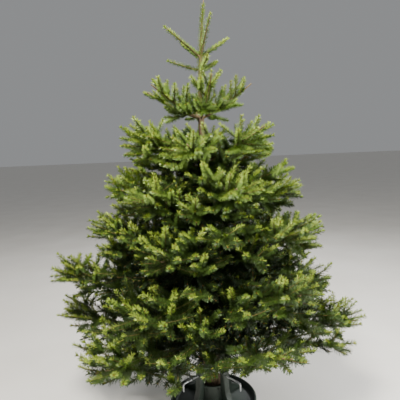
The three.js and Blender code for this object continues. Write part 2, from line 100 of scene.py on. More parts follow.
def seeded(seed):
    """The stream of numbers from 0 to 1 that the limbs take their differences from."""
    state = seed & WORD

    def draw():
        nonlocal state
        state = (state + 0x6D2B79F5) & WORD
        mixed = ((state ^ (state >> 15)) * (state | 1)) & WORD
        mixed ^= (mixed + (((mixed ^ (mixed >> 7)) * (mixed | 61)) & WORD)) & WORD
        return ((mixed ^ (mixed >> 14)) & WORD) / (WORD + 1)

    return draw


def limbs_of(tier):
    limbs = []
    for i in range(tier["limbs"]):
        draw = seeded(SEED + 100 * tier["number"] + i)
        azimuth = math.radians(tier["turn"] + 360 * i / tier["limbs"] + AZIMUTH_SPREAD * (2 * draw() - 1))
        facing = max(0.0, -math.sin(azimuth)) ** 2
        shape = (1 + tier["skew"] * math.cos(azimuth)) * (1 + (tier["front"] - 1) * facing)
        reach = tier["reach"] * shape * (1 + REACH_SPREAD * (2 * draw() - 1))
        stagger = tier["stagger"] * (1 if i % 2 == 0 else -1)
        rise = tier["rise"] + stagger + tier["lift"] * facing + RISE_SPREAD * (2 * draw() - 1)
        length = math.hypot(reach, rise)
        limbs.append(dict(tier=tier, number=tier["number"], index=i, azimuth=azimuth, reach=reach, rise=rise,
                          length=length))
    return limbs


tier_limbs = [limbs_of(tier) for tier in TIERS]


def limb_height(tier, rise, share):
    return tier["height"] + rise * share ** tier["bend"] - tier["sag"] * math.sin(math.pi * min(1, share))


def limb_point(limb, share):
    out = share * limb["reach"]
    return np.array([
        trunk_offset(limb["tier"]["height"]) + out * math.cos(limb["azimuth"]),
        out * math.sin(limb["azimuth"]),
        limb_height(limb["tier"], limb["rise"], share),
    ])


def limb_radius(limb, share):
    root = LIMB_ROOT_RADIUS + limb["length"] / LIMB_SLENDERNESS
    return root + (LIMB_TIP_RADIUS - root) * share


def new_object(name, data):
    obj = bpy.data.objects.new(name, data)
    bpy.context.scene.collection.objects.link(obj)
    return obj


def mesh_piece(name, corners, faces, edges=()):
    """A piece at the origin, with its place in its mesh."""
    mesh = bpy.data.meshes.new(name)
    mesh.from_pydata(np.asarray(corners).reshape(-1, 3).tolist(), edges, faces)
    mesh.validate()
    return new_object(name, mesh)


def smooth(obj, angle=math.radians(40)):
    obj.data.polygons.foreach_set("use_smooth", [True] * len(obj.data.polygons))
    obj.data.set_sharp_from_angle(angle=angle)


def unit(vector):
    return vector / np.linalg.norm(vector)


def units(vectors):
    return vectors / np.linalg.norm(vectors, axis=1)[:, None]


def turns_of(sides):
    return 2 * math.pi * np.arange(sides) / sides


def bars(name, lines, sides, radius_at):
    """A piece of round bars along lines, closed at their ends; radius_at(bar, step, turn) in metres."""
    corners, faces = [], []
    for bar, line in enumerate(lines):
        first = len(corners)
        for step, (centre, forward) in enumerate(zip(line, units(np.gradient(line, axis=0)))):
            across = unit(np.cross(forward, UP) if abs(forward[2]) < 0.9 else np.cross([0, 1, 0], forward))
            over = np.cross(across, forward)
            for turn in turns_of(sides):
                out = across * math.cos(turn) + over * math.sin(turn)
                corners.append(centre + out * radius_at(bar, step, turn))
        last = len(corners) - sides
        for a in range(first, last, sides):
            for side in range(sides):
                after = (side + 1) % sides
                faces.append((a + side, a + sides + side, a + sides + after, a + after))
        faces.append(tuple(first + side for side in range(sides)))
        faces.append(tuple(last + side for side in reversed(range(sides))))
    return mesh_piece(name, corners, faces)


def linear(code):
    """A colour of a finish, from its code on a colour card to the values that a shader takes."""
    values = [int(code[i:i + 2], 16) / 255 for i in (0, 2, 4)]
    return [v / 12.92 if v <= 0.04045 else ((v + 0.055) / 1.055) ** 2.4 for v in values] + [1]


def feed(tree, node, inputs):
    """Gives each input of a node its value, or links it to the output that feeds it."""
    for key, value in inputs.items():
        if isinstance(value, bpy.types.NodeSocket):
            tree.links.new(value, node.inputs[key])
        else:
            node.inputs[key].default_value = value


def wired(tree, kind, inputs=(), **settings):
    """A new node with its settings and inputs."""
    node = tree.nodes.new(kind)
    for name, value in settings.items():
        setattr(node, name, value)
    feed(tree, node, dict(inputs))
    return node


def add_sockets(tree, in_out, kinds):
    for name, kind in kinds.items():
        tree.interface.new_socket(name, in_out=in_out, socket_type=f"NodeSocket{kind}")


def mottle_group():
    """Cloudy and fine variation between two colours, with a height of its own for relief."""
    group = bpy.data.node_groups.new("mottle", "ShaderNodeTree")
    add_sockets(group, "INPUT", {
        "Dark": "Color", "Light": "Color", "Scale": "Float", "Stretch": "Float",
        "Fine scale": "Float", "Fine share": "Float"})
    add_sockets(group, "OUTPUT", {"Colour": "Color", "Height": "Float"})
    given = wired(group, "NodeGroupInput").outputs
    place = wired(group, "ShaderNodeTexCoord").outputs["Object"]
    squeeze = wired(group, "ShaderNodeCombineXYZ", {0: 1, 1: 1, 2: given["Stretch"]}).outputs[0]
    scaled = wired(group, "ShaderNodeVectorMath", {0: place, 1: squeeze}, operation="MULTIPLY").outputs[0]

    def noise_at(scale, detail):
        inputs = {"Vector": scaled, "Scale": given[scale], "Detail": detail}
        return wired(group, "ShaderNodeTexNoise", inputs).outputs["Fac"]

    both = wired(group, "ShaderNodeMix", {
        "Factor": given["Fine share"], "A": noise_at("Scale", 4), "B": noise_at("Fine scale", 2)})
    spread = wired(group, "ShaderNodeMapRange", {
        "Value": both.outputs["Result"], "From Min": 0.32, "From Max": 0.68}).outputs["Result"]
    colour = wired(group, "ShaderNodeMix", {
        "Factor": spread, "A": given["Dark"], "B": given["Light"]}, data_type="RGBA")
    wired(group, "NodeGroupOutput", {"Colour": colour.outputs["Result"], "Height": spread})
    return group


mottle = mottle_group()


def finish(name, dark, light, scale, roughness, fine_scale=200.0, fine_share=0.4, stretch=1.0,
           metallic=0.0, bump=0.0, bump_distance=0.001, specular=0.5):
    """A material between two colours, a little rougher where it is light."""
    material = bpy.data.materials.new(name)
    material.use_nodes = True
    tree = material.node_tree
    cover = wired(tree, "ShaderNodeGroup", {
        "Dark": linear(dark), "Light": linear(light), "Scale": scale, "Stretch": stretch,
        "Fine scale": fine_scale, "Fine share": fine_share}, node_tree=mottle)
    height = cover.outputs["Height"]
    rough = wired(tree, "ShaderNodeMapRange", {
        "Value": height, "To Min": roughness[0], "To Max": roughness[1]})
    shader = tree.nodes["Principled BSDF"]
    feed(tree, shader, {
        "Base Color": cover.outputs["Colour"], "Roughness": rough.outputs["Result"], "Metallic": metallic,
        "Specular IOR Level": specular})
    if bump:
        relief = wired(tree, "ShaderNodeBump", {
            "Strength": bump, "Distance": bump_distance, "Height": height})
        feed(tree, shader, {"Normal": relief.outputs["Normal"]})
    return material


FULL_BARK_RADIUS = 0.04  # thinner wood has finer bark
PLATE_RELIEF = 0.0009
BLISTER_RELIEF = 0.0022
BLISTERS_FROM = 0.25
RIDGE_RELIEF = 0.0011


def cloud(point, across, along, shift=0):
    """Smooth noise from -1 to 1, with so many waves to the metre across the wood and along it."""
    return noise.noise(Vector((point[0] * across, point[1] * across, point[2] * along + shift)))


def bark_relief(point, radius):
    """How far the bark stands out: long shallow plates, ridges and small resin blisters."""
    size = min(1.0, radius / FULL_BARK_RADIUS)
    plates = cloud(point, 60, 16)
    blisters = max(0.0, cloud(point, 130, 110) - BLISTERS_FROM)
    ridges = 1 - abs(cloud(point, 34, 9, 7)) * 2
    return size * (PLATE_RELIEF * plates + BLISTER_RELIEF * blisters + RIDGE_RELIEF * ridges)


TRUNK_RINGS = 420
TRUNK_SIDES = 64
BARK_SINK = 0.0006  # by which the middle of the relief lies under the trunk's own radius
COLLAR_BULGE = 0.3  # of the limb's radius
COLLAR_REACH = 0.06  # above and below the limb
COLLAR_WIDTH = 1.7  # as a multiple of the limb's radius
COLLAR_MARGIN = 0.002
all_limbs = [limb for limbs in tier_limbs for limb in limbs]


def trunk_middle(heights):
    return np.stack([trunk_offset(heights), 0 * heights, heights], axis=1)


trunk_line = trunk_middle(BUTT_HEIGHT + (OVERALL_HEIGHT - BUTT_HEIGHT) * np.linspace(0, 1, TRUNK_RINGS))


def trunk_surface(_, step, turn):
    height = trunk_line[step][2]
    radius = float(trunk_radius(height))
    spot = trunk_line[step] + radius * np.array([math.cos(turn), -math.sin(turn), 0])
    bulge = 0.0
    for limb in all_limbs:
        apart = height - limb["tier"]["height"]
        if abs(apart) > COLLAR_REACH:
            continue
        aside = math.remainder(-turn - limb["azimuth"], 2 * math.pi) * radius
        wood = COLLAR_WIDTH * limb_radius(limb, 0) + COLLAR_MARGIN
        bulge += COLLAR_BULGE * limb_radius(limb, 0) * math.exp(-(apart**2 + aside**2) / wood**2)
    return radius + bulge + bark_relief(spot, radius) - BARK_SINK


trunk = bars("trunk_bark", [trunk_line], TRUNK_SIDES, trunk_surface)
smooth(trunk)
bark = finish("grey brown bark", "3a2c20", "7d6850", 24, (0.75, 0.95), fine_scale=160, stretch=0.35,
              bump=0.5, bump_distance=0.002)
trunk.data.materials.append(bark)
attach(trunk, "root")
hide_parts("trunk")


# The boughs
# The wood of every limb, from inside its collar out to its tip: greyer and smoother than the trunk, with
# the same small blisters, and thinner by the year. The lowest two tiers are bare near the trunk.

BOUGH_RINGS = 34
BOUGH_SIDES = 10
BOUGH_START = 0.5  # of the trunk's radius, so inside the wood
BOUGH_END = 0.93  # of the limb's reach
BOUGH_RELIEF = 0.6  # of the trunk's
bough_shares, bough_lines = [], []
for limb in all_limbs:
    start = BOUGH_START * float(trunk_radius(limb["tier"]["height"])) / limb["reach"]
    bough_shares.append(np.linspace(start, BOUGH_END, BOUGH_RINGS))
    bough_lines.append([limb_point(limb, share) for share in bough_shares[-1]])


def bough_surface(bough, step, turn):
    radius = limb_radius(all_limbs[bough], bough_shares[bough][step])
    spot = bough_lines[bough][step] + radius * np.array([math.cos(turn), math.sin(turn), turn])
    return radius + BOUGH_RELIEF * bark_relief(spot, 2 * radius)


boughs = bars("boughs", bough_lines, BOUGH_SIDES, bough_surface)
smooth(boughs)
bough_bark = finish("smooth bough bark", "4a3d2a", "8a7752", 40, (0.7, 0.9), fine_scale=260,
                    bump=0.4, bump_distance=0.001)
boughs.data.materials.append(bough_bark)
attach(boughs, "root")
for number in (LOWEST - 1, LOWEST):
    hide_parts(*[f"bough_tier{number + 1}_{limb['index'] + 1}" for limb in tier_limbs[number]])


# The twigs
# Young wood that branches off the limbs in rows and bears the shoots, each year's growth shorter than the
# one before. A twig that would leave the space between its neighbours stays shorter or isn't grown.

WOOD, TWIG, SHOOT = 1, 2, 3  # the orders of branching
LIMB_RADII = (0.002, 0.0015)  # at its root and its tip
BRANCH_RADII = (0.0034, 0.0015)
TWIG_RADII = (0.0022, 0.0012)
SHOOT_RADII = (0.0013, 0.0009)
SPACE_MARGIN = 0.003
TRUNK_MARGIN = 0.008
SPACE_REACH = 1.2
LOWEST_FOLIAGE = 0.255
HANGING = 0.042  # how far the lowest shoots hang below their limb
SHOOT_ROOM = 0.026  # that the outer part of every shoot has round it
GROWN_SPACING = 0.02
SHORTER = (1, 0.85, 0.7, 0.55, 0.4, 0.28)  # the shares of its length that a twig is tried with
SHORTEST_SHOOT = 0.055


def tier_surface(tier, out):
    share = out / tier["reach"]
    if share <= 1:
        return limb_height(tier, tier["rise"], share)
    return tier["height"] + tier["rise"] + (share - 1) * tier["rise"] * tier["bend"]


def between(upper, lower, out):
    return (tier_surface(upper, out) + tier_surface(lower, out)) / 2


def inside_space(point, limb):
    """Whether a point is on the limb's own side of the planes halfway to its neighbours."""
    tier = limb["tier"]
    number = limb["number"]
    limbs = tier_limbs[number]
    x = point[0] - float(trunk_offset(tier["height"]))
    out = math.hypot(x, point[1])
    if out < trunk_radius(tier["height"]) + TRUNK_MARGIN:
        return False
    circle = 2 * math.pi
    i = limb["index"]
    before = limbs[i - 1]["azimuth"] - (circle if i == 0 else 0)
    after = limbs[i + 1]["azimuth"] if i + 1 < len(limbs) else limbs[0]["azimuth"] + circle
    turn = math.remainder(math.atan2(point[1], x) - limb["azimuth"], circle)
    slack = SPACE_MARGIN / out
    if turn < (before - limb["azimuth"]) / 2 + slack or turn > (after - limb["azimuth"]) / 2 - slack:
        return False
    if number > 0 and out < SPACE_REACH * TIERS[number - 1]["reach"]:
        if point[2] > between(TIERS[number - 1], tier, out) - SPACE_MARGIN:
            return False
    if number == LOWEST:
        own_height = limb_height(tier, limb["rise"], min(1, out / limb["reach"]))
        return point[2] > max(LOWEST_FOLIAGE, own_height - HANGING)
    return point[2] > between(tier, TIERS[number + 1], out) + SPACE_MARGIN


def frame_of(forward):
    right = unit(np.cross(forward, UP if abs(forward[2]) < 0.97 else np.array([0.0, 1.0, 0.0])))
    return right, np.cross(right, forward)


def twig_line(root, direction, length, lift, steps=3):
    shares = np.linspace(0, 1, steps + 1)[:, None]
    return root + shares * length * direction + UP * lift * length * shares**2


twigs = []
grown = {}  # places along all of them, by the small cube of space that they are in


def cube_of(point):
    return tuple(int(value // SHOOT_ROOM) for value in point)


def has_room(line):
    """Whether the outer part of a shoot keeps clear of all that has grown before it."""
    for point in line[-2:]:
        for cube in itertools.product(*((value - 1, value, value + 1) for value in cube_of(point))):
            if any(math.dist(point, other) < SHOOT_ROOM for other in grown.get(cube, ())):
                return False
    return True


def fitting(root, direction, length, lift, limb):
    """The longest twig that stays in the limb's space and has room, or none."""
    for share in SHORTER:
        if share * length < SHORTEST_SHOOT:
            break
        line = twig_line(root, direction, share * length, lift)
        if inside_space(line[-1], limb) and has_room(line):
            return line, share * length
    return None, 0


def values_along(line, shares):
    steps = np.linspace(0, 1, len(line))
    return np.stack([np.interp(shares, steps, line[:, k]) for k in range(3)], axis=1)


def keep(line, length, radii, limb, order):
    twigs.append(dict(line=line, length=length, radii=radii, limb=limb, order=order))
    shares = np.linspace(0, 1, max(4, round(length / GROWN_SPACING)))
    for point in values_along(line, shares).tolist():
        grown.setdefault(cube_of(point), []).append(point)


TWO_NODES_FROM = 0.19  # a shorter twig bears its shoots at one place
TWO_NODES, ONE_NODE = (0.28, 0.6), (0.4,)  # along the twig
NODE_ROLL = 30
TOP_SHOOTS = 0.3  # the share of the places that have a shoot on top
TOP_ASIDE = 0.4
SHOOT_SHARES = (0.7, 1.05)  # of what the twig has beyond the place
SHOOT_MORE = 0.03
SHOOT_ANGLES = (44, 62)
SHOOT_LIFT = (0.04, 0.2)
SHOOT_RISING = 0.1


def grow_shoots(line, length, limb, random):
    """The shoots round the last nodes of a twig: left, right and now and then on top."""
    forward = unit(line[-1] - line[0])
    right, top = frame_of(forward)
    for node in TWO_NODES if length > TWO_NODES_FROM else ONE_NODE:
        roll = math.radians(random.uniform(-NODE_ROLL, NODE_ROLL))
        side = right * math.cos(roll) + top * math.sin(roll)
        root = line[0] + (line[-1] - line[0]) * node
        outs = [side, -side]
        if random.random() < TOP_SHOOTS:
            outs.append(unit(top + side * random.uniform(-TOP_ASIDE, TOP_ASIDE)))
        for out in outs:
            size = (1 - node) * length * random.uniform(*SHOOT_SHARES) + SHOOT_MORE
            angle = math.radians(random.uniform(*SHOOT_ANGLES))
            direction = unit(forward * math.cos(angle) + out * math.sin(angle) + UP * SHOOT_RISING)
            shoot, size = fitting(root, direction, size, random.uniform(*SHOOT_LIFT), limb)
            if shoot is not None:
                keep(shoot, size, SHOOT_RADII, limb, SHOOT)


ROW_START = 0.08
ROW_STRETCH = 0.7
ROW_END = 0.97
ROW_WANDER = 15  # by which a twig stands off its row's angle
FIRST_TWIG_ANGLE = 76
LAST_TWIG_ANGLE = 44
ANGLE_SHARES = (0.85, 1.15)
REACH_SHARES = (0.78, 1.15)
SPACING_SHARES = (0.75, 1.25)
LONGEST_TWIG = 0.2
OUTERMOST_TWIG = 0.06  # the length that is left to a twig at the very tip
UPRIGHT_SHORTER = 0.4  # by how much shorter the twigs on top are
CLEAR_SHORTER = 0.4  # and again in the fourth tier, so that the trunk shows above it
RISING = 0.18  # how strongly every twig turns up
CUPPED = 2.8  # and how much more in the third tier
UNDER_RISING = 1.4  # and under a limb
TWIG_LIFT = (0.06, 0.26)
BRANCHING_FROM = 0.1  # a shorter twig bears no shoots of its own


def fullness(along):
    """How long the twigs are beside one another: short at the root, then longest, then shorter again."""
    place = min(1.05, max(-0.3, (along - ROW_START) / ROW_STRETCH))
    return math.sin(math.pi * (0.3 + 0.5 * place))


def grow_row(line_at, frame_at, length, half_width, angle, width, spacing, limb, random):
    """One row of twigs along a limb or a branch, on the side that the angle gives."""
    number = limb["number"]
    along = random.uniform(0.1, 0.9) * spacing / length
    while along < ROW_END:
        root = line_at(along)
        forward, right, top = frame_at(along)
        turn = math.radians(angle + random.uniform(-ROW_WANDER, ROW_WANDER))
        out = right * math.cos(turn) + top * math.sin(turn)
        upward = max(0, out[2])
        angle_here = math.radians(np.interp(along, [0, 0.8], [FIRST_TWIG_ANGLE, LAST_TWIG_ANGLE]))
        reach = width * half_width * fullness(along) * random.uniform(*REACH_SHARES) / math.sin(angle_here)
        lean = angle_here * random.uniform(*ANGLE_SHARES)
        left = 1.2 * (1 - along) * length + OUTERMOST_TWIG
        reach = min(reach, LONGEST_TWIG, left * (1 - UPRIGHT_SHORTER * upward))
        if number == FOURTH:
            reach *= 1 - CLEAR_SHORTER * upward
        rising = RISING * (CUPPED if number == THIRD else 1 if out[2] > -0.3 else UNDER_RISING)
        direction = unit(forward * math.cos(lean) + out * math.sin(lean) + UP * rising)
        line, size = fitting(root, direction, reach, random.uniform(*TWIG_LIFT), limb)
        if line is not None:
            keep(line, size, TWIG_RADII, limb, TWIG if size > BRANCHING_FROM else SHOOT)
            if size > BRANCHING_FROM:
                grow_shoots(line, size, limb, random)
        along += spacing * random.uniform(*SPACING_SHARES) * (1.6 - 0.65 * along) / length


BRANCH_ROWS = [(-8, 1), (188, 1), (45, 0.9), (135, 0.9), (90, 0.8), (230, 0.7), (310, 0.7), (270, 0.7)]
BRANCH_ROW_SPACING = 0.08
BRANCH_HALF_WIDTH = 0.36  # of its length


def grow_branch(root, direction, size, lift, limb, random, straight):
    """A side bough or a lesser branch with rows of twigs, straight out of it or along its bow."""
    line, length = fitting(root, direction, size, lift, limb)
    if line is None:
        return
    keep(line, length, BRANCH_RADII, limb, WOOD)
    facing = (direction, *frame_of(direction))
    chord = direction * length if straight else line[-1] - root
    for angle, width in BRANCH_ROWS:
        grow_row(lambda along: root + chord * along, lambda along: facing, length,
                 BRANCH_HALF_WIDTH * length, angle, width, BRANCH_ROW_SPACING, limb, random)


# of each row along a limb: the angle round it, from its right side over the top, and its twigs' length
LIMB_ROWS = [(-6, 1), (186, 1), (28, 1.05), (152, 1.05), (60, 1.2), (120, 1.2), (90, 1.2),
             (215, 1.05), (325, 1.05), (250, 1.2), (290, 1.2)]
LIMB_ROW_SPACING = 0.095
LIMB_HALF_WIDTH = 0.33  # of its length
THIRD_HALF_WIDTH = 0.27
ROWS_START = 0.1  # on the limb
LOW_ROWS_START = 0.26  # on those of the lowest two tiers
AXIS_START = 0.2
TOP_AXIS_START = 0.02  # in the top two tiers, whose limbs have needles but no twigs
TOP_AXIS_END = 0.985
AXIS_POINTS = 9
NEEDLED_SHARE = 0.75  # of a limb's length, for which its needles are counted
TIP_ROOM = 0.07  # that a limb leaves for its last shoots
LOW_LEFT_TIP_ROOM = 0.025  # that the limb on the left of the lowest tier leaves
# of each side bough: where on the limb, on which side, its angle, how steep, and its length
SIDE_BOUGHS = [(0.42, 1, 56, 8, 0.42), (0.46, -1, 56, 4, 0.42)]
# of each lesser branch between the limbs: how high above them, how far aside, and its length
LESSER_BRANCHES = [(0.075, -0.6, 0.85), (-0.07, 0.4, 0.84), (0.08, 0.2, 0.6), (-0.06, -0.1, 0.4),
                   (0.05, 0.8, 0.86), (-0.05, -0.75, 0.84), (0.02, 0.3, 0.5), (-0.08, -0.35, 0.8),
                   (0.1, -0.2, 0.4), (-0.1, 0.7, 0.78), (0.03, -0.4, 0.7), (-0.03, 0.55, 0.86),
                   (0, -0.9, 0.84)]
CLEAR_ABOVE = 0.06  # the fourth tier has no lesser branches higher than this, so that the trunk shows


def limb_frame(limb, share):
    forward = unit(limb_point(limb, share + 0.02) - limb_point(limb, share - 0.02))
    return forward, *frame_of(forward)


def grow_limb_rows(limb, start, end, random):
    stretch = end - start
    half_width = THIRD_HALF_WIDTH if limb["number"] == THIRD else LIMB_HALF_WIDTH
    for angle, width in LIMB_ROWS:
        grow_row(lambda along: limb_point(limb, start + stretch * along),
                 lambda along: limb_frame(limb, start + stretch * along), stretch * limb["length"],
                 half_width * limb["length"], angle, width, LIMB_ROW_SPACING, limb, random)


def grow_side_boughs(limb, random):
    for share, side, angle, steepness, size in SIDE_BOUGHS:
        forward, right, top = limb_frame(limb, share)
        turned = math.radians(angle + random.uniform(-5, 5))
        direction = unit(forward * math.cos(turned) + right * side * math.sin(turned)
                         + top * math.tan(math.radians(steepness + random.uniform(-9, 9))))
        root = limb_point(limb, share)
        grow_branch(root, direction, size * limb["length"], 0.02, limb, random, straight=True)


def level(turn):
    """The level direction that points so far round the trunk."""
    return np.array([math.cos(turn), math.sin(turn), 0])


def grow_lesser_branches(limb, random):
    tier = limb["tier"]
    for above, aside, size in LESSER_BRANCHES:
        if limb["number"] == FOURTH and above > CLEAR_ABOVE:
            continue
        turned = limb["azimuth"] + aside * math.pi / tier["limbs"]
        root = np.array([float(trunk_offset(tier["height"])), 0, tier["height"] + above])
        direction = unit(level(turned) + UP * random.uniform(0.06, 0.2))
        size *= min(limb["reach"], tier["reach"]) * random.uniform(0.9, 1.05)
        grow_branch(root, direction, size, 0.04, limb, random, straight=False)


for limb in all_limbs:
    number = limb["number"]
    random = np.random.default_rng(SEED + 1000 * number + 10 * limb["index"])
    lowest_left = number == LOWEST and math.cos(limb["azimuth"]) < -0.9
    end = 1 - (LOW_LEFT_TIP_ROOM if lowest_left else TIP_ROOM) / limb["length"]
    first, last = (AXIS_START, end) if number >= THIRD else (TOP_AXIS_START, TOP_AXIS_END)
    axis = np.array([limb_point(limb, share) for share in np.linspace(first, last, AXIS_POINTS)])
    keep(axis, limb["length"] * NEEDLED_SHARE, LIMB_RADII, limb, WOOD)
    if number >= THIRD:
        grow_limb_rows(limb, LOW_ROWS_START if number >= LOWEST - 1 else ROWS_START, end, random)
    if number >= FOURTH:
        grow_side_boughs(limb, random)
        grow_lesser_branches(limb, random)


def mesh_of_points(name, points, edges=(), **values):
    """Points, and edges between some, that carry named values for a node tree to read."""
    obj = mesh_piece(name, points, [], edges)
    for label, numbers in values.items():
        numbers = np.asarray(numbers, dtype=np.float32)
        vector = numbers.ndim == 2
        layer = obj.data.attributes.new(label, "FLOAT_VECTOR" if vector else "FLOAT", "POINT")
        layer.data.foreach_set("vector" if vector else "value", numbers.ravel())
    return obj


def settle(obj):
    """Leaves what an object's modifiers make of it as its plain mesh."""
    bpy.context.view_layer.update()
    evaluated = obj.evaluated_get(bpy.context.evaluated_depsgraph_get())
    mesh = bpy.data.meshes.new_from_object(evaluated)
    before = obj.data
    obj.modifiers.clear()
    obj.data = mesh
    mesh.name = obj.name
    bpy.data.meshes.remove(before)


def grow(obj, tree, **inputs):
    """Turns an object into what a node tree with the inputs makes of it."""
    modifier = obj.modifiers.new("grow", "NODES")
    modifier.node_group = tree
    for socket in tree.interface.items_tree:
        if socket.in_out == "INPUT" and socket.name in inputs:
            modifier[socket.identifier] = inputs[socket.name]
    settle(obj)


def geometry_tree(name, **inputs):
    """A new node tree with geometry in and out and the named inputs, and what these bring."""
    tree = bpy.data.node_groups.new(name, "GeometryNodeTree")
    add_sockets(tree, "INPUT", {"Geometry": "Geometry", **inputs})
    add_sockets(tree, "OUTPUT", {"Geometry": "Geometry"})
    return tree, wired(tree, "NodeGroupInput").outputs


def named(tree, name, kind):
    reader = wired(tree, "GeometryNodeInputNamedAttribute", {"Name": name}, data_type=kind)
    return reader.outputs["Attribute"]


def realized(tree, geometry):
    return wired(tree, "GeometryNodeRealizeInstances", {0: geometry}).outputs[0]


def painted(tree, geometry, material):
    """The tree, ended with a material on its geometry."""
    last = wired(tree, "GeometryNodeSetMaterial", {"Geometry": geometry, "Material": material})
    wired(tree, "NodeGroupOutput", {0: last.outputs[0]})
    return tree


def twig_tree():
    """Round wood along edges, as thick as their points say, tapered and closed at both ends."""
    tree, given = geometry_tree("wood along lines", Sides="Int", Wood="Material")
    curves = wired(tree, "GeometryNodeMeshToCurve", {0: given["Geometry"]})
    circle = wired(tree, "GeometryNodeCurvePrimitiveCircle", {"Radius": 1, "Resolution": given["Sides"]})
    wood = wired(tree, "GeometryNodeCurveToMesh", {
        "Curve": curves.outputs[0], "Profile Curve": circle.outputs[0],
        "Scale": named(tree, "thickness", "FLOAT"), "Fill Caps": True})
    return painted(tree, realized(tree, wood.outputs[0]), given["Wood"])


TIER_GROUPS = ["top", "top", "top", "top", "upper", "middle", "lower", "lowest"]
DIVIDED_GROUPS = ("lower", "lowest")  # each in a front and a back half


def group_of(limb):
    name = TIER_GROUPS[limb["number"]]
    if name not in DIVIDED_GROUPS:
        return name
    return name + ("_front" if math.sin(limb["azimuth"]) < 0 else "_back")


groups = {}
for limb in all_limbs:
    groups.setdefault(group_of(limb), []).append(limb)


def foliage_nodes(group):
    return [f"foliage_tier{limb['number'] + 1}_{limb['index'] + 1}" for limb in groups[group]]


wood_tree = twig_tree()
twig_bark = finish("young twig bark", "5d4a2c", "97834a", 60, (0.6, 0.8), fine_scale=300)
for group in groups:
    points, edges, thickness = [], [], []
    for twig in twigs:
        if group_of(twig["limb"]) != group:
            continue
        first = len(points)
        points.extend(twig["line"])
        edges += [(i, i + 1) for i in range(first, len(points) - 1)]
        thickness.extend(np.linspace(*twig["radii"], len(twig["line"])))
    piece = mesh_of_points(f"twigs_{group}", points, edges, thickness=thickness)
    grow(piece, wood_tree, Sides=4, Wood=twig_bark)
    piece.data.polygons.foreach_set("use_smooth", [True] * len(piece.data.polygons))
    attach(piece, "root")
    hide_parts(*foliage_nodes(group))


# The needles
# Flat waxy fir needles, set all round their shoot but combed up from beneath. The young ones are yellow
# green and widest above the middle, older ones darker and drawn in to a blunt tip, a few sprays are dry.
# Light and shade are painted into their colours as well: shoots far inside the crown get a darker green as
# painted shade, those at its outside and rising ones a lighter green as painted light, and the young colour
# goes only on the upward needles of a shoot's end, over more of it where the crown is lit, as a painted
# highlight.

GOLDEN_TURN = 2.39996
CROWD_SHARE = 0.09  # of a shoot's needles, which stand close together round its tip
CROWD_START = 0.95
COMBED_FROM = 0.35
NEEDLE_ROOT = 0.0008  # how far from the middle of the shoot
ROOT_LEAN = 64  # in degrees away from the shoot, and by how much less towards its tip
TIP_LESS = 12
LEAN_WANDER = 9
CROWD_LEANS = (8, 62)
TIP_SHORTER = 0.16
SIZE_SHARES = (0.8, 1.12)
young_corners = [(-0.34, 0, 0), (0.34, 0, 0), (0.5, 0.62, 0), (-0.5, 0.62, 0), (0, 1, 0)]
young_needle = mesh_piece("one_young_needle", young_corners, [(0, 1, 2, 3), (3, 2, 4)])
old_corners = [(-0.45, 0, 0), (0.45, 0, 0), (0.28, 1, 0), (-0.28, 1, 0)]
old_needle = mesh_piece("one_needle", old_corners, [(0, 1, 2, 3)])


def needles_on(line, length, needle_length, per_metre, random, bare=0.0, combed=True):
    """Each needle's root, direction, the way its upper face looks, its size and its place on the shoot."""
    count = max(10, int(per_metre * length * (1 - bare)))
    place = bare + (1 - bare) * (np.arange(count) + random.uniform(0, 1, count)) / count
    crowd = max(5, int(CROWD_SHARE * count))
    place[-crowd:] = random.uniform(CROWD_START, 1.0, crowd)
    centre = values_along(line, place)
    forward = units(values_along(np.gradient(line, axis=0), place))
    reference = np.where(np.abs(forward[:, 2:3]) < 0.97, UP[None, :], np.array([[0.0, 1.0, 0.0]]))
    right = units(np.cross(forward, reference))
    top = np.cross(right, forward)
    turn = GOLDEN_TURN * np.arange(count) + random.uniform(-0.5, 0.5, count)
    out = right * np.cos(turn)[:, None] + top * np.sin(turn)[:, None]
    if combed:
        under = np.clip(-np.sin(turn) - COMBED_FROM, 0, 1)[:, None]
        out = units(out + (top * under * 0.5 + right * np.sign(np.cos(turn))[:, None] * under * 0.3))
    lean = ROOT_LEAN - TIP_LESS * place**3 + random.uniform(-LEAN_WANDER, LEAN_WANDER, count)
    lean[-crowd:] = random.uniform(*CROWD_LEANS, crowd)
    lean = np.radians(lean)[:, None]
    heading = forward * np.cos(lean) + out * np.sin(lean)
    outward = out * np.cos(lean) - forward * np.sin(lean)
    size = needle_length * (1 - TIP_SHORTER * place**2) * random.uniform(*SIZE_SHARES, count)
    return centre + out * NEEDLE_ROOT, heading, outward, size, place


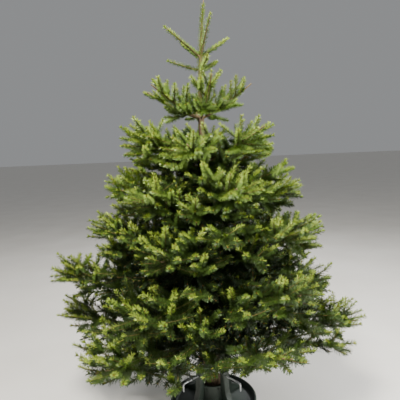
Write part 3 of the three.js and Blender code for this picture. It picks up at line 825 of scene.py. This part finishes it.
def leaf_tree():
    """One small piece on each point: it points where the point says, rolled a little at random."""
    tree, given = geometry_tree("leaves on points", Leaf="Object", Width="Float", Roll="Float",
                                Seed="Int", Finish="Material")
    heading = named(tree, "heading", "FLOAT_VECTOR")
    outward = named(tree, "outward", "FLOAT_VECTOR")
    turned = wired(tree, "FunctionNodeAxesToRotation", {0: heading, 1: outward},
                   primary_axis="Y", secondary_axis="Z")
    least = wired(tree, "ShaderNodeMath", {0: given["Roll"], 1: -1}, operation="MULTIPLY")
    amount = wired(tree, "FunctionNodeRandomValue", {
        2: least.outputs[0], 3: given["Roll"], "Seed": given["Seed"]}, data_type="FLOAT")
    roll = wired(tree, "FunctionNodeAxisAngleToRotation", {"Axis": (0, 1, 0), "Angle": amount.outputs[1]})
    rolled = wired(tree, "FunctionNodeRotateRotation", {0: turned.outputs[0], 1: roll.outputs[0]},
                   rotation_space="LOCAL")
    shape = wired(tree, "ShaderNodeCombineXYZ", {
        0: given["Width"], 1: named(tree, "size", "FLOAT"), 2: given["Width"]})
    leaf = wired(tree, "GeometryNodeObjectInfo", {"Object": given["Leaf"]})
    placed = wired(tree, "GeometryNodeInstanceOnPoints", {
        "Points": given["Geometry"], "Instance": leaf.outputs["Geometry"],
        "Rotation": rolled.outputs[0], "Scale": shape.outputs[0]})
    leaves = realized(tree, placed.outputs[0])
    for name in ("heading", "outward", "size"):
        leaves = wired(tree, "GeometryNodeRemoveAttribute", {"Geometry": leaves, "Name": name}).outputs[0]
    return painted(tree, leaves, given["Finish"])


leaf_nodes = leaf_tree()
# The light, green and shaded kinds are lit and shaded copies of one needle colour, picked by where a shoot
# stands in the crown: painted light and painted shade. The young colour is partly real new growth and partly
# a painted highlight on the upper side of lit shoots.
needle_finishes = {
    "fresh": finish("fresh needles", "628026", "a5b744", 9, (0.38, 0.55), fine_scale=90),
    "green": finish("green needles", "2b4017", "4c6424", 8, (0.36, 0.52), fine_scale=90, specular=0.35),
    "light": finish("light green needles", "48661f", "809a42", 8, (0.37, 0.54), fine_scale=90),
    "deep": finish("deep green needles", "16230f", "2b3e1b", 7, (0.36, 0.5), fine_scale=90, specular=0.35),
    "dry": finish("dry needles", "6f562a", "9c8844", 12, (0.6, 0.75), fine_scale=120),
}
NEEDLE_ROLL = 0.5


def leaves(name, leaf, width, material, roots, headings, outwards, sizes):
    """A piece that has one leaf on each root."""
    piece = mesh_of_points(name, roots, heading=headings, outward=outwards, size=sizes)
    grow(piece, leaf_nodes, Leaf=leaf, Width=width, Roll=NEEDLE_ROLL, Seed=SEED, Finish=material)
    return piece


NEVER = 9  # more light than there is
# by tier: the length of a needle, needles on a metre, the light below which a shoot gets the shaded green of
# painted shade and from which it gets the light green of painted light, and from which it has young needles,
# which are painted only on its lit upper side, and the largest share of these
NEEDLE_LENGTH = [0.018, 0.018, 0.019, 0.020, 0.021, 0.0215, 0.022, 0.022]
NEEDLES_ON_METRE = [2200, 2200, 2000, 1800, 1650, 1550, 1450, 1450]
SHADED_BELOW = [0, 0, 0, 0.4, 0.6, 0.7, 0.76, 0.76]
LIGHT_FROM = [0, 0, 0.2, 0.62, 0.9, 1.2, NEVER, NEVER]
YOUNG_AND_LIT_FROM = [0.6, 0.6, 0.62, 0.66, 0.74, 0.8, 0.84, 0.84]
YOUNG_AND_LIT_MOST = [0.55, 0.55, 0.52, 0.5, 0.44, 0.4, 0.38, 0.42]
# how fast the young colour, partly a painted highlight, spreads down a shoot with more light, and how far
# its start wanders at random
YOUNG_AND_LIT_GAIN = 1.6
YOUNG_AND_LIT_WANDER = 0.07
LIGHT_FROM_RISING = 0.25
LIGHT_WANDER = 0.1
DRY_SHARE = 0.0015
DENSITY_OF = {"deep": 0.8, "green": 1.1, "light": 1.1, "dry": 0.9}
WIDTH_OF = {"deep": 0.0042, "green": 0.0032, "light": 0.0031, "fresh": 0.0029, "dry": 0.003}
BARE_SHARE = {WOOD: 0.14, TWIG: 0.12, SHOOT: 0.04}  # of a piece of wood, from its root
TOP_BARE_SHARE = 0.05  # of the limbs in the top two tiers
tip_heights = [tier["height"] + tier["rise"] for tier in TIERS]
tip_reaches = [tier["reach"] for tier in TIERS]


def light_at(point):
    """1 at the outside of the crown and less towards the trunk; it sets the needles' painted light and
    shade.
    """
    out = math.hypot(point[0] - float(trunk_offset(point[2])), point[1])
    return out / float(np.interp(point[2], tip_heights[::-1], tip_reaches[::-1]))


dealt = {}
kind_draw = np.random.default_rng(SEED)
for twig_number, twig in enumerate(twigs):
    line, length, order = twig["line"], twig["length"], twig["order"]
    tier = twig["limb"]["number"]
    random = np.random.default_rng(SEED + 7 * twig_number)
    # how lit a shoot counts as: more far out in the crown and on rising shoots; it picks a darker green as
    # painted shade or a lighter one as painted light
    light = light_at(line[-1]) + LIGHT_FROM_RISING * (line[-1] - line[0])[2] / length
    light += kind_draw.uniform(-LIGHT_WANDER, LIGHT_WANDER)
    kind = "deep" if light < SHADED_BELOW[tier] else "light" if light > LIGHT_FROM[tier] else "green"
    if order == SHOOT and kind_draw.random() < DRY_SHARE:
        kind = "dry"
    bare = TOP_BARE_SHARE if order == WOOD and tier < THIRD else BARE_SHARE[order]
    density = NEEDLES_ON_METRE[tier] * DENSITY_OF[kind]
    *spots, place = needles_on(line, length, NEEDLE_LENGTH[tier], density, random, bare)
    # this year's growth is the outer end of the shoot, longer where there is more light; its young colour is
    # put only on needles that point up, as a painted highlight, so the needles beneath keep the darker
    # colour as painted shade
    young_and_lit_start = 1 - np.clip(YOUNG_AND_LIT_GAIN * (light - YOUNG_AND_LIT_FROM[tier]), 0, YOUNG_AND_LIT_MOST[tier])
    young_and_lit_start = young_and_lit_start + random.uniform(-YOUNG_AND_LIT_WANDER, YOUNG_AND_LIT_WANDER, len(place))
    young = (place > young_and_lit_start) & (spots[1][:, 2] > 0) & (kind != "dry")
    for part, own_kind in ((young, "fresh"), (~young, kind)):
        if part.any():
            lots = dealt.setdefault((group_of(twig["limb"]), own_kind), [])
            lots.append([values[part] for values in spots])
for (group, kind), lots in sorted(dealt.items()):
    leaf = young_needle if kind == "fresh" else old_needle
    spots = [np.concatenate([lot[k] for lot in lots]) for k in range(4)]
    piece = leaves(f"needles_{kind}_{group}", leaf, WIDTH_OF[kind], needle_finishes[kind], *spots)
    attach(piece, "root")
    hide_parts(*foliage_nodes(group))

NEEDLED_FROM = 1.53  # the part of the leader that bears needles
NEEDLED_TO = 2.052
LEADER_NEEDLES = 2100  # on a metre
LEADER_LENGTH = 0.0165  # of a needle, and its width and its root's depth under the bark
LEADER_WIDTH = 0.0026
LEADER_DEPTH = 0.0015
leader_line = trunk_middle(np.linspace(NEEDLED_FROM, NEEDLED_TO, 12))
*spots, _ = needles_on(leader_line, NEEDLED_TO - NEEDLED_FROM, LEADER_LENGTH, LEADER_NEEDLES,
                       np.random.default_rng(SEED + 3), combed=False)
sideways = units(spots[1] * (1, 1, 0))
spots[0] += sideways * (trunk_radius(spots[0][:, 2]) - LEADER_DEPTH)[:, None]
leader = leaves("needles_leader", young_needle, LEADER_WIDTH, needle_finishes["fresh"], *spots)
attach(leader, "root")
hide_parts("trunk")
bpy.data.objects.remove(young_needle)
bpy.data.objects.remove(old_needle)


# The buds
# A small brown bud sits on the end of every shoot, between its last needles. It is covered in resin, wider
# near its base and drawn in to a blunt point.

BUD_LENGTH = 0.0065
BUD_WIDTH = 0.0048
BUD_SIDES = 5
BUD_RINGS = [(0.5, 0.25), (0.42, 0.65)]  # of each: radius as a share of the width, place along the bud
bud_corners = [(0, 0, 0)]
for radius, height in BUD_RINGS:
    for turn in turns_of(BUD_SIDES):
        bud_corners.append((radius * math.cos(turn), height, -radius * math.sin(turn)))
bud_corners.append((0, 1, 0))
bud_faces = []
low, high = 1, 1 + BUD_SIDES
for side in range(BUD_SIDES):
    after = (side + 1) % BUD_SIDES
    bud_faces.append((0, low + after, low + side))
    bud_faces.append((low + side, low + after, high + after, high + side))
    bud_faces.append((high + side, high + after, high + BUD_SIDES))
bud = mesh_piece("one_bud", bud_corners, bud_faces)
resin = finish("resinous buds", "6b4420", "9a6c35", 120, (0.35, 0.6), fine_scale=500)
ends = np.array([twig["line"][-1] for twig in twigs])
headings = np.array([unit(twig["line"][-1] - twig["line"][-2]) for twig in twigs])
asides = np.cross(headings, [0.3, 0.5, 0.81])
buds = leaves("buds", bud, BUD_WIDTH, resin, ends, headings, asides, np.full(len(ends), BUD_LENGTH))
bpy.data.objects.remove(bud)
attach(buds, "root")
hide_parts(*[name for group in groups for name in foliage_nodes(group)])


# The stand
# A dish moulded in dark green-grey plastic: a rounded rim, a floor that rises to the collar of the well
# where the butt stands in water, and four posts whose buttresses run down to the rim.

STAND_RADIUS = 0.226
RIM_HEIGHT = 0.046
WELL_RADIUS = 0.072
WELL_FLOOR = 0.01
COLLAR_HEIGHT = 0.142
COLLAR_WALL = 0.008
POST_HEIGHT = 0.215
POST_WIDTH = 0.034
POST_EDGE = 0.003
POST_ROUNDING = 0.012
FIRST_POST = math.radians(42)
POST_TURNS = [FIRST_POST + number * math.pi / 2 for number in range(4)]
DISH_ROUNDING = 0.004
DISH_SEGMENTS = 128
ROUNDING_STEPS = 4
collar = WELL_RADIUS + COLLAR_WALL  # its outer radius
dish_outline = [
    (0, 0), (collar, 0), (collar, 0.022), (collar + 0.012, 0.022),
    (STAND_RADIUS - 0.026, 0.008), (STAND_RADIUS - 0.018, 0), (STAND_RADIUS - 0.008, 0),
    (STAND_RADIUS, RIM_HEIGHT - 0.006), (STAND_RADIUS - 0.006, RIM_HEIGHT),
    (STAND_RADIUS - 0.012, RIM_HEIGHT - 0.003), (STAND_RADIUS - 0.022, 0.02),
    (STAND_RADIUS - 0.032, 0.014), (collar + 0.016, 0.03), (collar + 0.003, 0.046),
    (collar, COLLAR_HEIGHT), (WELL_RADIUS, COLLAR_HEIGHT), (WELL_RADIUS, WELL_FLOOR), (0, WELL_FLOOR),
]


def rounded(outline, radius):
    """An outline with each corner that has two neighbours rounded off."""
    result = [outline[0]]
    for before, corner, after in zip(outline, outline[1:], outline[2:]):
        a, b, c = (np.array(p, dtype=float) for p in (before, corner, after))
        to_a, to_c = a - b, c - b
        cut = min(radius, 0.42 * np.linalg.norm(to_a), 0.42 * np.linalg.norm(to_c))
        start, stop = b + unit(to_a) * cut, b + unit(to_c) * cut
        for i in range(ROUNDING_STEPS + 1):
            t = i / ROUNDING_STEPS
            result.append(tuple((1 - t) ** 2 * start + 2 * t * (1 - t) * b + t * t * stop))
    result.append(outline[-1])
    return result


dish_line = rounded(dish_outline, DISH_ROUNDING)
dish_corners, dish_faces = [], []
for radius, height in dish_line[1:-1]:
    dish_corners += [radius * level(turn) + UP * height for turn in turns_of(DISH_SEGMENTS)]
underside = len(dish_corners)
top_ring = underside - DISH_SEGMENTS
dish_corners += [(0, 0, dish_line[0][1]), (0, 0, dish_line[-1][1])]
for a in range(0, top_ring, DISH_SEGMENTS):
    b = a + DISH_SEGMENTS
    for i in range(DISH_SEGMENTS):
        after = (i + 1) % DISH_SEGMENTS
        dish_faces.append((a + i, a + after, b + after, b + i))
for i in range(DISH_SEGMENTS):
    after = (i + 1) % DISH_SEGMENTS
    dish_faces.append((underside, after, i))
    dish_faces.append((underside + 1, top_ring + i, top_ring + after))
dish = mesh_piece("stand", dish_corners, dish_faces)

inner = WELL_RADIUS + 0.002
post_outline = [
    (inner, COLLAR_HEIGHT - 0.04), (inner + 0.018, 0.026), (STAND_RADIUS - 0.02, 0.016),
    (STAND_RADIUS - 0.02, 0.03), (STAND_RADIUS - 0.05, 0.036), (inner + 0.052, 0.066), (inner + 0.034, 0.11),
    (inner + 0.026, POST_HEIGHT - 0.008), (inner + 0.02, POST_HEIGHT), (inner, POST_HEIGHT),
]
# the outline runs on past its start, so that its first corners are rounded at its end
post_line = rounded(post_outline + post_outline[:2], POST_ROUNDING)[ROUNDING_STEPS + 1:-1]
count = len(post_line)
post_corners, post_faces = [], []
for turn in POST_TURNS:
    aside = np.cross(UP, level(turn))
    first = len(post_corners)
    for side in (-POST_WIDTH / 2, POST_WIDTH / 2):
        for radius, height in post_line:
            post_corners.append(level(turn) * radius + aside * side + UP * height)
    post_faces.append(tuple(first + i for i in range(count)))
    post_faces.append(tuple(first + count + i for i in reversed(range(count))))
    for i in range(count):
        after = (i + 1) % count
        post_faces.append((first + after, first + i, first + count + i, first + count + after))
posts = mesh_piece("stand_posts", post_corners, post_faces)
edges = posts.modifiers.new("moulded edges", "BEVEL")
edges.width = POST_EDGE
edges.segments = 3
edges.angle_limit = math.radians(40)


SCREW_HEIGHT = 0.195
SCREW_RADIUS = 0.0045
SCREW_CLEARANCE = 0.0004
WATER_HOLE_RADIUS = 0.0036
WATER_HOLE_HEIGHT = 0.128
WATER_HOLE_TURN = 0.42  # to both sides of each post
BORE_SIDES = 20
BORE_START, SCREW_BORE_END, WATER_BORE_END = 0.06, 0.13, 0.1  # from the middle of the well
screw_ways, water_ways = [], []
for turn in POST_TURNS:
    screw_ways.append([level(turn) * out + UP * SCREW_HEIGHT for out in (BORE_START, SCREW_BORE_END)])
    for off in (-WATER_HOLE_TURN, WATER_HOLE_TURN):
        way = [level(turn + off) * out + UP * WATER_HOLE_HEIGHT for out in (BORE_START, WATER_BORE_END)]
        water_ways.append(way)
screw_bores = bars("screw bores", screw_ways, BORE_SIDES, lambda *_: SCREW_RADIUS + SCREW_CLEARANCE)
water_bores = bars("water bores", water_ways, BORE_SIDES, lambda *_: WATER_HOLE_RADIUS)
for label, operation, other in (("posts", "UNION", posts), ("screw bores", "DIFFERENCE", screw_bores),
                                ("water bores", "DIFFERENCE", water_bores)):
    step = dish.modifiers.new(label, "BOOLEAN")
    step.operation = operation
    step.object = other
    step.solver = "EXACT"
settle(dish)
for other in (posts, screw_bores, water_bores):
    bpy.data.objects.remove(other)
smooth(dish, math.radians(32))
plastic = finish("dark moulded plastic", "232b25", "38443b", 14, (0.34, 0.5), fine_scale=900, fine_share=0.3,
                 bump=0.12, bump_distance=0.0004)
dish.data.materials.clear()
dish.data.materials.append(plastic)
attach(dish, "root")
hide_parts("stand_dish")


# The clamp screws
# Four bright zinc plated steel screws, each through its post and tight on the wood. A rolled thread runs
# along the shank, and the outer end is bent down as a handle.

SCREW_REACH = 0.196
SCREW_HANDLE = 0.044
BEND_RADIUS = 0.009
THREAD_PITCH = 0.0022
THREAD_DEPTH = 0.0009
THREADED_TO = 0.165
PLAIN_UNDERSIZE = 0.0002  # by which the plain part is thinner than the thread
SCREW_SIDES = 14
TIP_GAP = 0.0003
tip_radius = float(trunk_radius(SCREW_HEIGHT)) + TIP_GAP
bend_start = SCREW_REACH - BEND_RADIUS
shank = [(out, SCREW_HEIGHT) for out in np.arange(tip_radius, bend_start, THREAD_PITCH / 4)]
bend = [(bend_start + BEND_RADIUS * math.sin(t), SCREW_HEIGHT - BEND_RADIUS * (1 - math.cos(t)))
        for t in np.linspace(0, math.pi / 2, 9)]
low_end = SCREW_HEIGHT + SCREW_RADIUS - SCREW_HANDLE
handle = [(SCREW_REACH, height) for height in np.linspace(SCREW_HEIGHT - BEND_RADIUS, low_end, 8)[1:]]
screw_line = shank + bend + handle


def screw_surface(_, step, turn):
    out, height = screw_line[step]
    if step == 0 or step == len(screw_line) - 1:
        return 0.8 * SCREW_RADIUS
    if out > THREADED_TO:
        return SCREW_RADIUS - PLAIN_UNDERSIZE
    wave = math.remainder(out / THREAD_PITCH - turn / (2 * math.pi), 1)
    return SCREW_RADIUS - THREAD_DEPTH * abs(2 * wave)


screw_lines = [[level(turn) * out + UP * height for out, height in screw_line] for turn in POST_TURNS]
screws = bars("clamp_screws", screw_lines, SCREW_SIDES, screw_surface)
smooth(screws)
zinc = finish("zinc plated steel", "a9adb0", "dfe2e4", 60, (0.22, 0.4), fine_scale=700, metallic=1.0)
screws.data.materials.append(zinc)
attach(screws, "root")
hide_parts("clamp_screw_1", "clamp_screw_2", "clamp_screw_3", "clamp_screw_4")


# The room
# A plain pale floor and pale air all round. A soft light hangs high before the tree, a weaker one stands
# low on the right, and a third behind it.

FLOOR_HALF = 60
floor_corners = [(x * FLOOR_HALF, y * FLOOR_HALF, 0) for x, y in ((-1, -1), (1, -1), (1, 1), (-1, 1))]
floor = mesh_piece("floor", floor_corners, [(0, 1, 2, 3)])
floor.data.materials.append(finish("pale floor", "dcd8d1", "e6e3dd", 2, (0.55, 0.7)))


def soft_light(name, place, aim, size, power, colour):
    lamp = bpy.data.lights.new(name, "AREA")
    lamp.shape = "DISK"
    lamp.size = size
    lamp.energy = power
    lamp.color = colour
    obj = new_object(name, lamp)
    obj.location = place
    obj.rotation_euler = (Vector(aim) - Vector(place)).to_track_quat("-Z", "Y").to_euler()


soft_light("key", (-0.7, -1.35, 3.75), (0, 0, 1.2), 1.0, 300, (1.0, 0.97, 0.89))
soft_light("side", (2.6, -0.9, 1.7), (0.4, 0, 0.6), 1.4, 130, (0.98, 0.98, 0.96))
soft_light("back", (0.6, 3.0, 3.0), (0, 0, 1.0), 2.0, 70, (0.96, 0.98, 1.0))
air = bpy.data.worlds.new("air")
air.use_nodes = True
feed(air.node_tree, air.node_tree.nodes["Background"], {"Color": (0.86, 0.88, 0.9, 1), "Strength": 0.32})
bpy.context.scene.world = air


# The camera
# It stands at chest height before the tree, looks a little down and is held a little askew, as the
# photograph was taken.

CAMERA_HEIGHT = 1.33
CAMERA_DISTANCE = 1.97
CAMERA_ASIDE = -0.027
PITCH_DOWN = math.radians(7.1)
ROLL = math.radians(-2.4)
SENSOR_WIDTH = 36
FOCAL_SHARE = 401 / 400  # of the sensor's width
camera_data = bpy.data.cameras.new("camera")
camera_data.sensor_width = SENSOR_WIDTH
camera_data.lens = SENSOR_WIDTH * FOCAL_SHARE
camera = new_object("camera", camera_data)
turned = Matrix.Rotation(math.pi / 2 - PITCH_DOWN, 4, "X") @ Matrix.Rotation(ROLL, 4, "Z")
camera.matrix_world = Matrix.Translation((CAMERA_ASIDE, -CAMERA_DISTANCE, CAMERA_HEIGHT)) @ turned
bpy.context.scene.camera = camera
